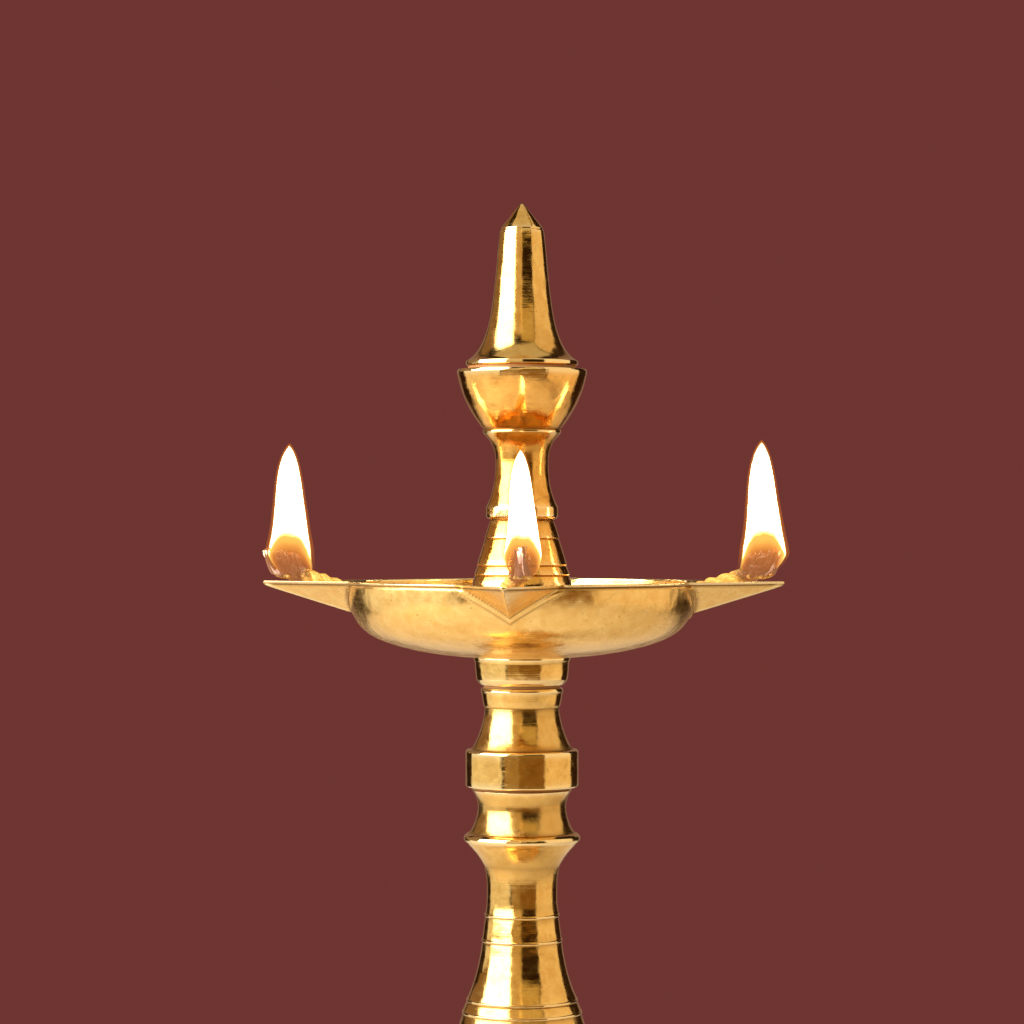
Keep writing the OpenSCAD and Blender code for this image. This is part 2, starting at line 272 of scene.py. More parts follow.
class Nodes:
    """Builds one material's node tree."""

    def __init__(self, name):
        self.material = bpy.data.materials.new(name)
        self.material.use_nodes = True
        self.tree = self.material.node_tree
        self.tree.nodes.clear()
        self.output = self.tree.nodes.new("ShaderNodeOutputMaterial")

    def add(self, kind, settings=None, **inputs):
        """A node with its inputs filled. An input is named with _ for a space, or i0, i1 for its number."""
        node = self.tree.nodes.new("ShaderNode" + kind)
        for key, value in (settings or {}).items():
            setattr(node, key, value)
        for key, value in inputs.items():
            numbered = key[0] == "i" and key[1:].isdigit()
            socket = int(key[1:]) if numbered else key.replace("_", " ")
            self.put(node.inputs[socket], value)
        return node

    def put(self, socket, value):
        if isinstance(value, bpy.types.NodeSocket):
            self.tree.links.new(value, socket)
        else:
            socket.default_value = value

    def math(self, operation, a, b=0.0, clamp=False):
        return self.add("Math", {"operation": operation, "use_clamp": clamp}, i0=a, i1=b).outputs[0]

    def ramp(self, value, low, high, to_low=0.0, to_high=1.0):
        """value taken from the span low, high into the span to_low, to_high, and held outside it."""
        node = self.add("MapRange", {"clamp": True}, Value=value, From_Min=low, From_Max=high,
                        To_Min=to_low, To_Max=to_high)
        return node.outputs[0]

    def mix(self, share, a, b):
        node = self.add("Mix", {"data_type": "RGBA"})
        self.put(node.inputs[0], share)
        self.put(node.inputs[6], a)
        self.put(node.inputs[7], b)
        return node.outputs[2]

    def noise(self, vector, scale, detail=3.0, roughness=0.5, distortion=0.0):
        return self.add("TexNoise", None, Vector=vector, Scale=scale, Detail=detail, Roughness=roughness,
                        Distortion=distortion).outputs["Fac"]

    def attribute(self, name):
        return self.add("Attribute", {"attribute_name": name}).outputs["Fac"]

    def place(self):
        return self.add("TexCoord").outputs["Object"]

    def from_axis(self, place):
        """x, y and z of a place, and its distance from the axis."""
        split = self.add("SeparateXYZ", None, Vector=place)
        flat = self.add("CombineXYZ", None, X=split.outputs[0], Y=split.outputs[1])
        radius = self.add("VectorMath", {"operation": "LENGTH"}, i0=flat.outputs[0])
        return [split.outputs[k] for k in range(3)] + [radius.outputs["Value"]]

    def turned_place(self, place, round_share):
        """Coordinates in which a pattern runs round the axis as rings that change a little on the way."""
        x, y, z, radius = self.from_axis(place)
        x = self.math("MULTIPLY", x, round_share)
        y = self.math("MULTIPLY", y, round_share)
        high = self.math("ADD", z, self.math("MULTIPLY", radius, 0.7))
        return self.add("CombineXYZ", None, X=x, Y=y, Z=high).outputs[0]

    def bump(self, height, distance, strength=1.0, normal=None):
        node = self.add("Bump", None, Height=height, Distance=distance, Strength=strength)
        if normal is not None:
            self.put(node.inputs["Normal"], normal)
        return node.outputs[0]

    def glowing(self, tone, power, alpha):
        """A see-through surface that only glows."""
        self.material.surface_render_method = "BLENDED"
        return self.principled(Base_Color=(0.0, 0.0, 0.0, 1), Roughness=1.0, Specular_IOR_Level=0.0,
                               Emission_Color=tone, Emission_Strength=power, Alpha=alpha)

    def principled(self, **inputs):
        shader = self.add("BsdfPrincipled", None, **inputs)
        self.tree.links.new(shader.outputs[0], self.output.inputs[0])
        return self.material


def brass(name, bright, deep, smooth, dull, rings, waves, mottle, cast=False):
    """Brass with turning rings, hand-polishing waves, darker grooves, and brighter edges that are partly
    worn and partly a painted highlight.
    smooth and dull are its lowest and highest roughness.
    rings, waves and mottle are shares of the usual relief."""
    n = Nodes(name)
    place = n.place()
    turned = n.turned_place(place, 0.02)
    tarnish = n.attribute("tarnish")
    wear_and_highlight = n.attribute("wear_and_highlight")
    broad = n.noise(place, 70.0, 4.0, 0.6)
    cloud = n.noise(place, 320.0, 5.0, 0.62, 0.4)
    grain = n.noise(place, 2600.0, 3.0, 0.6)
    ring = n.noise(turned, 1400.0, 4.0, 0.6)
    fine_ring = n.noise(turned, 5200.0, 2.0, 0.5)
    tone = n.mix(n.ramp(cloud, 0.34, 0.68), (*deep, 1), (*bright, 1))
    tone = n.mix(n.ramp(broad, 0.55, 0.75, 0.0, 0.35), tone, (*deep, 1))
    # brown film in the grooves and, thinly, in clouds over the open surfaces
    film = n.math("MULTIPLY", tarnish, n.ramp(cloud, 0.2, 0.7, 0.75, 1.15), clamp=True)
    patches = n.math("MULTIPLY", n.ramp(n.noise(place, 150.0, 6.0, 0.7, 1.0), 0.56, 0.72), 0.3 * mottle)
    film = n.math("MAXIMUM", film, patches)
    tone = n.mix(n.math("MULTIPLY", film, 0.85), tone, (0.16, 0.072, 0.022, 1))
    specks = n.ramp(n.noise(place, 1500.0, 2.0, 0.5), 0.69, 0.74, 0.0, 0.55)
    tone = n.mix(specks, tone, (0.20, 0.10, 0.035, 1))
    # edges painted paler: partly worn brass, partly a painted highlight
    tone = n.mix(n.math("MULTIPLY", wear_and_highlight, 0.75), tone, (0.98, 0.80, 0.46, 1))
    rough = n.ramp(n.math("ADD", n.math("MULTIPLY", cloud, 0.6), n.math("MULTIPLY", ring, 0.4)), 0.36, 0.64,
                   smooth, dull)
    rough = n.math("ADD", rough, n.math("MULTIPLY", film, 0.28))
    rough = n.math("ADD", rough, n.math("MULTIPLY", specks, 0.25))
    rough = n.math("SUBTRACT", rough, n.math("MULTIPLY", wear_and_highlight, 0.04), clamp=True)
    normal = n.bump(n.noise(place, 130.0, 2.0, 0.5), 0.00022 * waves)
    normal = n.bump(cloud, 0.00003 * mottle, 1.0, normal)
    normal = n.bump(ring, 0.000020 * rings, 1.0, normal)
    normal = n.bump(fine_ring, 0.000005 * rings, 1.0, normal)
    normal = n.bump(grain, 0.000003, 1.0, normal)
    if cast:
        # the surfaces that face the axis were never turned
        inside = n.attribute("inside")
        sand = n.noise(place, 900.0, 6.0, 0.75)
        raw = n.mix(sand, (0.10, 0.055, 0.02, 1), (0.34, 0.2, 0.08, 1))
        tone = n.mix(n.math("MULTIPLY", inside, 0.9), tone, raw)
        rough = n.math("MAXIMUM", rough, n.math("MULTIPLY", inside, n.ramp(sand, 0.3, 0.7, 0.5, 0.72)))
        normal = n.bump(n.math("MULTIPLY", sand, inside), 0.0004, 1.0, normal)
    return n.principled(Base_Color=tone, Metallic=1.0, Roughness=rough, Normal=normal)


def leather_look():
    """Oiled leather in layers."""
    n = Nodes("oiled_leather")
    place = n.place()
    grain = n.noise(place, 1600.0, 5.0, 0.65)
    layer = n.noise(n.turned_place(place, 0.05), 5000.0, 3.0, 0.6)
    tone = n.mix(grain, (0.24, 0.105, 0.035, 1), (0.46, 0.24, 0.09, 1))
    normal = n.bump(grain, 0.00008)
    normal = n.bump(layer, 0.00006, 1.0, normal)
    rough = n.ramp(grain, 0.3, 0.7, 0.42, 0.7)
    return n.principled(Base_Color=tone, Roughness=rough, Normal=normal, Specular_IOR_Level=0.4)


def cotton_look():
    """Cotton strands soaked in oil, browned, charred and glowing in the flame. Near the flame a painted glow
    stands in for its light coming through the strands, and a pale painted glow for its light on the tuft's
    outer strands.
    """
    n = Nodes("oiled_cotton")
    place = n.place()
    char = n.attribute("char")
    glow = n.attribute("glow")
    fibre = n.attribute("fibre")
    flame_lit_glow = n.attribute("flame_lit_glow")
    pale = n.attribute("pale")
    blotch = n.noise(place, 700.0, 5.0, 0.6)
    edge = n.noise(place, 1500.0, 4.0, 0.7)
    lines = n.ramp(fibre, 0.0, 1.0)
    tone = n.mix(lines, (0.50, 0.26, 0.06, 1), (0.74, 0.44, 0.13, 1))
    tone = n.mix(n.ramp(blotch, 0.45, 0.75, 0.0, 0.5), tone, (0.46, 0.24, 0.06, 1))
    ragged = n.math("ADD", char, n.math("MULTIPLY", n.math("SUBTRACT", edge, 0.5), 0.7))
    browned = n.ramp(ragged, 0.12, 0.5)
    burnt = n.ramp(ragged, 0.72, 1.0)
    tone = n.mix(browned, tone, n.mix(lines, (0.030, 0.009, 0.004, 1), (0.085, 0.030, 0.012, 1)))
    tone = n.mix(burnt, tone, (0.012, 0.006, 0.004, 1))
    normal = n.bump(lines, 0.00016)
    normal = n.bump(n.noise(place, 3500.0, 4.0, 0.7), 0.00010, 1.0, normal)
    shine = n.mix(browned, (1.0, 0.55, 0.08, 1), (0.85, 0.30, 0.09, 1))
    # pale painted glow: the flame's light on the outer strands
    shine = n.mix(pale, shine, (1.0, 0.66, 0.46, 1))
    shine = n.mix(glow, shine, (1.0, 0.80, 0.30, 1))
    # painted glow that stands in for the flame's light coming through the strands
    power = n.math("MULTIPLY", flame_lit_glow, n.ramp(lines, 0.0, 1.0, 0.22, 0.55))
    power = n.math("MAXIMUM", power, n.math("MULTIPLY", char, n.ramp(edge, 0.3, 0.7, 0.35, 0.7)))
    power = n.math("MAXIMUM", power, n.math("MULTIPLY", pale, n.ramp(edge, 0.3, 0.6, 0.55, 1.0)))
    power = n.math("MAXIMUM", power, n.math("MULTIPLY", glow, 6.0))
    return n.principled(Base_Color=tone, Roughness=n.ramp(blotch, 0.3, 0.7, 0.42, 0.75), Normal=normal,
                        Subsurface_Weight=0.25, Subsurface_Scale=0.002, Specular_IOR_Level=0.2,
                        Emission_Color=shine, Emission_Strength=power)


def oil_look():
    """Amber oil that the bowl shows through, with a little dust on it."""
    n = Nodes("lamp_oil")
    place = n.place()
    drift = n.noise(place, 60.0, 3.0, 0.5)
    tone = n.mix(drift, (0.36, 0.17, 0.025, 1), (0.47, 0.26, 0.045, 1))
    normal = n.bump(n.noise(place, 90.0, 1.0, 0.4), 0.00008)
    dust = n.ramp(n.noise(place, 1800.0, 2.0, 0.5), 0.68, 0.74, 0.03, 0.3)
    n.material.surface_render_method = "BLENDED"
    return n.principled(Base_Color=tone, Roughness=dust, Normal=normal, Alpha=0.72, IOR=1.47,
                        Specular_IOR_Level=0.6)


def flame_body_look():
    """The flame's bright body. Down over the wick it thins from white through orange to a brown haze."""
    n = Nodes("flame_body")
    level = n.attribute("level")
    drift = n.noise(n.place(), 260.0, 2.0, 0.5)
    level = n.math("ADD", level, n.math("MULTIPLY", n.math("SUBTRACT", drift, 0.5), 2.2))
    tone = n.mix(n.ramp(level, 2.5, 7.0), (0.42, 0.13, 0.045, 1), (0.68, 0.20, 0.045, 1))
    tone = n.mix(n.ramp(level, 6.5, 10.0), tone, (1.0, 0.34, 0.05, 1))
    tone = n.mix(n.ramp(level, 9.5, 12.0), tone, (1.0, 0.70, 0.11, 1))
    tone = n.mix(n.ramp(level, 12.0, 14.0), tone, (1.0, 0.90, 0.62, 1))
    power = n.ramp(level, 2.0, 11.0, 0.8, 1.0)
    power = n.math("ADD", power, n.ramp(level, 12.0, 16.0, 0.0, 29.0))
    alpha = n.math("ADD", n.ramp(level, 0.5, 3.5, 0.0, 0.5), n.ramp(level, 6.0, 11.0, 0.0, 0.5))
    return n.glowing(tone, power, alpha)


def flame_skin_look(name, tone, power, opacity):
    """A thin layer of paler fire round the flame's body."""
    n = Nodes(name)
    level = n.attribute("level")
    stretched = n.add("VectorMath", {"operation": "MULTIPLY"}, i0=n.place(), i1=(1.0, 1.0, 0.12)).outputs[0]
    wisps = n.ramp(n.noise(stretched, 420.0, 3.0, 0.55), 0.3, 0.7, 0.8, 1.0)
    alpha = n.math("MULTIPLY", n.ramp(level, 8.0, 13.5, 0.0, opacity), wisps)
    return n.glowing((*tone, 1), power, alpha)


TURNED = brass("brass_turned", (0.90, 0.60, 0.20), (0.74, 0.44, 0.12), 0.06, 0.17, 1.0, 1.0, 1.5)
# the cup's brass is tinted deeper orange than the other turned brass: painted flame light
CUP_FLAME_TINTED = brass("brass_cup_flame_tinted", (0.93, 0.53, 0.13), (0.76, 0.37, 0.07), 0.07, 0.17, 0.7, 1.6, 2.3)
BOWL = brass("brass_bowl", (0.95, 0.66, 0.26), (0.84, 0.52, 0.16), 0.17, 0.28, 0.5, 1.6, 0.7)
BASE = brass("brass_base", (0.88, 0.58, 0.19), (0.72, 0.41, 0.11), 0.08, 0.20, 1.0, 1.0, 1.2, cast=True)
STUD = brass("brass_stud", (0.72, 0.48, 0.17), (0.50, 0.29, 0.09), 0.30, 0.48, 0.3, 0.5, 1.5)
LEATHER = leather_look()
COTTON = cotton_look()
OIL = oil_look()


# ---- turned parts, washers and studs ----

lathe("base_brass", "base", BASE, "base", 1.0)
for part, look in (("stem_lower", TURNED), ("stem_middle", TURNED), ("stem_upper", TURNED),
                   ("bowl_collar", TURNED), ("finial_column", CUP_FLAME_TINTED), ("finial_spire", TURNED)):
    owner = "bowl" if part == "bowl_collar" else part
    lathe(part + "_brass", part, look, owner)
for part, owner in (("base_washer", "lower_carrier"), ("lower_washer", "middle_carrier"),
                    ("middle_washer", "upper_carrier"), ("bowl_washer", "stem_upper"),
                    ("finial_washer", "finial_carrier"), ("spire_washer", "spire_carrier")):
    lathe(part + "_leather", part, LEATHER, owner, 0.4)


def threaded_stud(node, body, pitch):
    """A stud with a real right-hand helix, a little blunt at crest and root, and a chamfer at each end."""
    low, high = (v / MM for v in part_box(node))
    radius = high.x
    depth = 0.61 * pitch
    around = 48
    rows = int((high.z - low.z) / pitch * 10)
    z = np.linspace(low.z, high.z, rows)[:, None]
    angle = np.arange(around)[None, :] * 2 * pi / around
    phase = (z / pitch - angle / (2 * pi)) % 1.0
    vee = np.clip(np.abs(phase - 0.5) * 2 * 1.25 - 0.1, 0, 1)
    r = radius - depth * vee
    from_end = np.minimum(z - low.z, high.z - z)
    r = np.minimum(r, radius - depth + from_end * 1.1)
    points = np.stack([r * np.cos(angle), r * np.sin(angle), np.broadcast_to(z, r.shape)], -1).reshape(-1, 3)
    faces = grid_faces(rows, around)
    dark = np.append(vee.ravel(), [0, 0])
    # thread crests marked brighter: partly wear, partly a painted highlight
    crest_wear_and_highlight = np.append(np.clip(1 - vee.ravel() * 4, 0, 1), [0, 0])
    bottom, top = len(points), len(points) + 1
    points = np.vstack([points, [0, 0, low.z], [0, 0, high.z]])
    last = (rows - 1) * around
    for k in range(around):
        faces.append([bottom, (k + 1) % around, k])
        faces.append([top, last + k, last + (k + 1) % around])
    attributes = {"tarnish": dark, "wear_and_highlight": crest_wear_and_highlight, "inside": dark * 0}
    return add_piece(node + "_thread", points, faces, attributes, STUD, body, [node])


for stud, owner in (("base_stud", "base"), ("lower_stud", "stem_lower"), ("middle_stud", "stem_middle"),
                    ("top_stud", "stem_upper")):
    threaded_stud(stud, owner, 1.5)
threaded_stud("spire_stud", "finial_column", 1.25)


# ---- bowl ----

RIM_R = 47.25
INNER_R = 45.95
# how far a spout reaches, and where its sides would meet if its point were not blunt
TIP_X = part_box("bowl")[1].x / MM
POINT_X = TIP_X + 0.4
# a spout's root, half its width there, and how much its sides bulge
ROOT_X = 44.0
ROOT_HALF = 14.5
SIDE_BULGE = 0.35
# the depth of a spout's keel at its point, and how fast it deepens towards the root
KEEL_AT_POINT = 0.9
KEEL_SLOPE = 0.31
# how much thinner a spout's wall makes its channel, at its sides and at its keel
CHANNEL_SIDE = 1.15
CHANNEL_KEEL = 1.4
# no part of a spout is looked for nearer to the axis or farther from it than this
SPOUT_NEAR = 36.0
SPOUT_FAR = 76.0


def spout_width(x):
    """Half the width of a spout at its top, and the depth of its keel, at distance x from the axis."""
    share = (x - ROOT_X) / (POINT_X - ROOT_X)
    width = ROOT_HALF * (1 - share) * (1 + SIDE_BULGE * share)
    return width, KEEL_AT_POINT + KEEL_SLOPE * (POINT_X - x)


def spout_edge(turn, depth, grow, thin_side, thin_keel, end):
    """Distance from the axis to a spout's outline at a depth under the rim, or 0 where a ray misses it.
    turn is each ray's angle from the spout."""
    low = np.full_like(turn, SPOUT_NEAR)
    high = np.full_like(turn, SPOUT_FAR)
    slope = np.tan(np.abs(turn))
    for _ in range(40):
        x = (low + high) / 2
        width, keel = spout_width(x)
        keel = np.maximum(keel - thin_keel, 0.01)
        half = (width - thin_side) * np.minimum(1 - depth / keel, 1) + grow
        outside = (half < x * slope) | (depth > keel)
        high = np.where(outside, x, high)
        low = np.where(outside, low, x)
    x = np.where(low < SPOUT_NEAR + 0.5, 0, low)
    blunt = 0.5
    gap = np.clip(blunt - np.abs(x - end), 0, None)
    x = np.where(x > 0, np.minimum(x, end) - gap ** 2 / (4 * blunt), 0)
    return x / np.cos(turn)


def soft_max(a, b, blend):
    """The larger of a and b, rounded where they cross."""
    gap = np.clip(blend - np.abs(a - b), 0, None)
    return np.maximum(a, b) + gap ** 2 / (4 * blend)


def ray_turns():
    """Directions of the bowl's rays, closest together at each spout's point, and their turns from it."""
    fine = 21.0 * np.linspace(0, 1, 49) ** 1.3
    side = np.concatenate([fine, np.linspace(21, 45, 15)[1:]])
    turn = np.concatenate([-side[:0:-1], side[:-1]])
    turn = np.concatenate([turn] * 4)
    spout = np.repeat([0, 90, 180, 270], len(turn) // 4)
    return np.radians(spout + turn), np.radians(turn)


def bowl_rows():
    """The bowl's skin as rings: (radius, depth under the rim, growth of the spouts, inside or not)."""
    outer = [(RIM_R - 0.55, 0.0, -0.55), (RIM_R + 0.15, 0.0, 0.15), (RIM_R + 0.33, 0.05, 0.33),
             (RIM_R + 0.43, 0.16, 0.43), (RIM_R + 0.45, 0.28, 0.45), (RIM_R + 0.43, 0.44, 0.43),
             (RIM_R + 0.33, 0.58, 0.33), (RIM_R + 0.12, 0.66, 0.12), (RIM_R - 0.14, 0.72, -0.14),
             (RIM_R - 0.2, 0.86, -0.2), (RIM_R - 0.14, 1.0, -0.14), (RIM_R, 1.12, 0.0)]
    wall = curve((RIM_R, 1.2), (46.95, 11.8), (39.2, 15.4), 42)
    floor = curve((39.2, 15.4), (31, 19.2), (15, 20.5), 16)
    outer += [(r, h, 0.0) for r, h in np.vstack([wall, floor])]
    outer += [(14.6, 20.5, 0.0), (10.0, 20.5, 0.0), (5.4, 20.5, 0.0), (5.15, 20.3, 0.0)]
    inner = [(5.15, 18.7, 0.0), (5.4, 18.5, 0.0), (10.0, 18.5, 0.0), (16, 18.5, 0.0)]
    floor = curve((16, 18.5), (30.5, 17.6), (38.2, 14.2), 14)
    wall = curve((38.2, 14.2), (45.55, 11), (INNER_R, 0.7), 24)
    inner += [(r, h, 0.0) for r, h in np.vstack([floor, wall])]
    inner += [(INNER_R, 0.45, 0.0), (INNER_R + 0.03, 0.22, 0.03), (INNER_R + 0.12, 0.07, 0.12),
              (INNER_R + 0.3, 0.0, 0.3)]
    return [(*row, False) for row in outer] + [(*row, True) for row in inner]


def bowl_piece():
    """The dish and its spouts. A band of solder runs down each side of a spout, between two dark creases."""
    band = 4.6
    ray, turn = ray_turns()
    points = []
    tarnish = []
    wear_and_highlight = []
    inside = []
    for radius, depth, grow, within in bowl_rows():
        dish = np.full_like(ray, radius)
        if within:
            spout = spout_edge(turn, depth, grow, CHANNEL_SIDE, CHANNEL_KEEL, TIP_X - 2.0)
            reach = soft_max(dish, spout, 1.6)
            crease = np.zeros_like(ray)
        else:
            spout = spout_edge(turn, depth, grow, 0.0, 0.0, TIP_X)
            reach = soft_max(dish, spout, 0.8)
            share = np.clip((dish - spout + 0.4) / band, 0, 1)
            below_lip = np.clip((depth - 1.0) / 1.2, 0, 1) * (spout > 0)
            reach = reach + 0.42 * below_lip * np.sqrt(np.sin(pi * share))
            across = np.abs(turn) * reach
            reach = reach + 0.34 * below_lip * (spout > dish + 0.6) * np.exp(-(across / 0.6) ** 2)
            crease = below_lip * np.maximum(np.exp(-((dish - spout) / 0.45) ** 2),
                                            0.7 * np.exp(-((dish - spout - band) / 0.7) ** 2))
        near_rim = np.clip(1 - depth / 12, 0, 1)
        # the bowl was filed and beaten true by hand, so it is not quite round or flat
        reach = reach + near_rim * (0.10 * np.sin(3 * ray + 1.0) + 0.05 * np.sin(7 * ray + 2.4))
        high = -depth + near_rim * (0.07 * np.sin(2 * ray + 0.7) + 0.04 * np.sin(5 * ray) - 0.1)
        points.append(np.stack([reach * np.cos(ray), reach * np.sin(ray), high + RIM], -1))
        on_keel = (spout > dish + 1.0) * np.clip(1.5 - np.abs(turn) * reach / 0.7, 0, 1)
        # the lip and the keels are marked brighter: partly wear, partly a painted highlight
        lip = 1.0 if depth < 0.6 else 0.0
        under_lip = 0.0 if within else 1.4 * np.exp(-((depth - 0.9) / 0.22) ** 2)
        tarnish.append(np.clip(crease + under_lip, 0, 1))
        wear_and_highlight.append(np.maximum(lip, 0.0 if within else on_keel) * np.ones_like(ray))
        inside.append(np.full_like(ray, 1.0 if within else 0.0))
    rows = len(points)
    attributes = {"tarnish": np.concatenate(tarnish), "wear_and_highlight": np.concatenate(wear_and_highlight),
                  "inside": np.concatenate(inside)}
    faces = [face[::-1] for face in grid_faces(rows, len(ray), True)]
    return add_piece("bowl_brass", np.concatenate(points), faces, attributes, BOWL, "bowl",
                     ["bowl"])


bowl_piece()


def oil_piece():
    """The oil's surface, which climbs a little where it wets the bowl and the finial's foot."""
    level = 12.2
    wall_r = 42.1
    foot_r = 14.75
    around = 96
    climb = [(0.0, 0.9), (0.18, 0.5), (0.45, 0.22), (0.9, 0.07), (1.6, 0.0)]
    rings = [(foot_r + d, h) for d, h in climb]
    rings += [(r, 0.0) for r in np.linspace(foot_r + 3, wall_r - 3, 10)]
    rings += [(wall_r - d, h) for d, h in climb[::-1]]
    angle = np.arange(around) * 2 * pi / around
    points = [np.stack([r * np.cos(angle), r * np.sin(angle), np.full(around, RIM - level + h)], -1)
              for r, h in rings]
    faces = [face[::-1] for face in grid_faces(len(rings), around)]
    return add_piece("oil_surface", np.concatenate(points), faces, {}, OIL, "bowl")


oil_piece()


# ---- wicks ----

# the wick's slope, where it starts, where it crosses the rim and how far under it, and where it bends up
WICK_SLOPE = radians(18.4)
WICK_START = 27.0
RIM_CROSSING = 47.0
UNDER_RIM = 3.1
STRAIGHT_END = 60.0
BEND_R = 9.0
LIFT = radians(62)
STRAIGHT = (STRAIGHT_END - WICK_START) / cos(WICK_SLOPE)
BEND = BEND_R * (LIFT - WICK_SLOPE)
WICK_LENGTH = STRAIGHT + BEND + 3.5
# the length along the wick at which it opens, and at which it turns brown
OPEN_AT = STRAIGHT - 1.0
BROWN_AT = STRAIGHT - 3.7
# the front wick has slipped to one side of its spout, and so lies higher
VEER = {"front": 4.2}
VEER_LIFT = 0.3
# beyond this distance a wick keeps this gap over the channel under it
CHANNEL_START = 46.0
CHANNEL_GAP = 1.75
FAR_BELOW = -1000.0
# how many threads there are of each kind
TUFT_COUNT = 72
PALE_COUNT = 9
FIBRE_COUNT = 110


def wick_line(s):
    """The wick's centre line at length s from its inner end.
    Gives distance from the axis, height over the rim, and direction."""
    s = np.asarray(s, float)
    along = np.minimum(s, STRAIGHT)
    x = WICK_START + along * cos(WICK_SLOPE)
    z = (x - RIM_CROSSING) * tan(WICK_SLOPE) - UNDER_RIM
    run = WICK_SLOPE + np.clip(s - STRAIGHT, 0, BEND) / BEND_R
    x = x + BEND_R * (np.sin(run) - sin(WICK_SLOPE))
    z = z + BEND_R * (cos(WICK_SLOPE) - np.cos(run))
    rest = np.maximum(s - STRAIGHT - BEND, 0)
    return x + rest * np.cos(run), z + rest * np.sin(run), run


def tube(centres, radii, sides, relief=None):
    """Rings of points round a line of centres, and faces that close it at both ends."""
    centres = np.asarray(centres, float)
    way = np.gradient(centres, axis=0)
    way /= np.linalg.norm(way, axis=1)[:, None]
    side = np.cross(way, (0.0, 0.0, 1.0) if abs(way[0][2]) < 0.9 else (1.0, 0.0, 0.0))
    side /= np.linalg.norm(side, axis=1)[:, None] + 1e-9
    up = np.cross(side, way)
    angle = np.arange(sides) * 2 * pi / sides
    radius = np.asarray(radii, float)[:, None] * (1 if relief is None else relief)
    ring = (centres[:, None, :] + (radius * np.cos(angle))[..., None] * side[:, None, :]
            + (radius * np.sin(angle))[..., None] * up[:, None, :])
    faces = grid_faces(len(centres), sides)
    faces.append(list(range(sides))[::-1])
    faces.append([(len(centres) - 1) * sides + k for k in range(sides)])
    return ring.reshape(-1, 3), faces


class Bundle:
    """Collects tubes into one mesh."""

    def __init__(self):
        self.points = []
        self.faces = []
        self.values = {"char": [], "glow": [], "flame_lit_glow": [], "pale": [], "fibre": []}
        self.count = 0

    def add(self, centres, radii, sides, char, glow, flame_lit_glow, pale=0.0, fibre=None, relief=None):
        """One tube. Its char, glow, warm and pale are single shares, or one for each centre."""
        points, faces = tube(centres, radii, sides, relief)
        self.points.append(points)
        self.faces += [[self.count + v for v in face] for face in faces]
        for key, value in (("char", char), ("glow", glow), ("flame_lit_glow", flame_lit_glow), ("pale", pale)):
            self.values[key].append(np.repeat(np.broadcast_to(value, len(centres)), sides))
        self.values["fibre"].append(np.full(len(points), 0.6) if fibre is None else fibre.ravel())
        self.count += len(points)


def veer(side, x):
    """How far a wick lies off the middle of its spout, at distance x from the axis."""
    t = np.clip((x - 50.0) / 14.0, 0, 1)
    return VEER.get(side, 0.0) * t * t * (3 - 2 * t)


def resting_height(x, y):
    """The lowest a wick lies over its spout's channel, so that it stays clear as it slides in.
    x is the distance from the axis, and y how far aside."""
    width, keel = spout_width(x)
    half = np.maximum(width - CHANNEL_SIDE, 0.1)
    depth = np.maximum(keel - CHANNEL_KEEL, 0.0)
    floor = -depth * np.clip(1 - np.abs(y) / half, 0, 1)
    return np.where(x > CHANNEL_START, floor + CHANNEL_GAP, FAR_BELOW)


def charred(s):
    """How charred the wick is at length s."""
    return np.clip((s - BROWN_AT) / 6, 0, 1)


def lit_through(s):
    """How much painted glow the wick gets at length s, standing in for the flame's light coming through it.
    """
    return np.clip((s - STRAIGHT + 17) / 10, 0, 1) * np.clip(1 - (s - BROWN_AT) / 4, 0, 1)


def add_strands(bundle, rng):
    """Three twisted strands that open towards the lit end."""
    twist = 10.5
    sides = 20
    start_phase = rng.uniform(0, 2 * pi)
    for strand in range(3):
        s = np.linspace(0, WICK_LENGTH - 2.5, 110)
        x, z, run = wick_line(s)
        phase = start_phase + 2 * pi * (s / twist + strand / 3)
        spread = 1.15 + 0.3 * np.clip((s - OPEN_AT) / 8, 0, 1)
        spread = spread * (1 + 0.07 * np.sin(s * 0.9 + strand * 2.1 + start_phase))
        y = spread * np.cos(phase)
        lift = spread * np.sin(phase)
        centres = np.stack([x - lift * np.sin(run), y, z + lift * np.cos(run)], -1)
        radii = 1.42 * (1 + 0.08 * np.sin(s * 1.7 + strand)) * np.clip(0.45 + s / 1.5, 0, 1)
        radii = radii * (1 - 0.45 * np.clip((s - OPEN_AT) / 9, 0, 1))
        around = np.arange(sides) * 2 * pi / sides
        ply = np.cos(5 * around[None, :] + 2 * pi * s[:, None] / 3.2)
        hair = np.cos(13 * around[None, :] + 2 * pi * s[:, None] / 1.9 + rng.uniform(0, 6))
        relief = 1 + 0.05 * ply + 0.02 * hair
        fibre = 0.5 + 0.3 * ply + 0.2 * hair
        bundle.add(centres, radii, sides, 0.8 * charred(s), 0.0, lit_through(s), 0.0, fibre, relief)


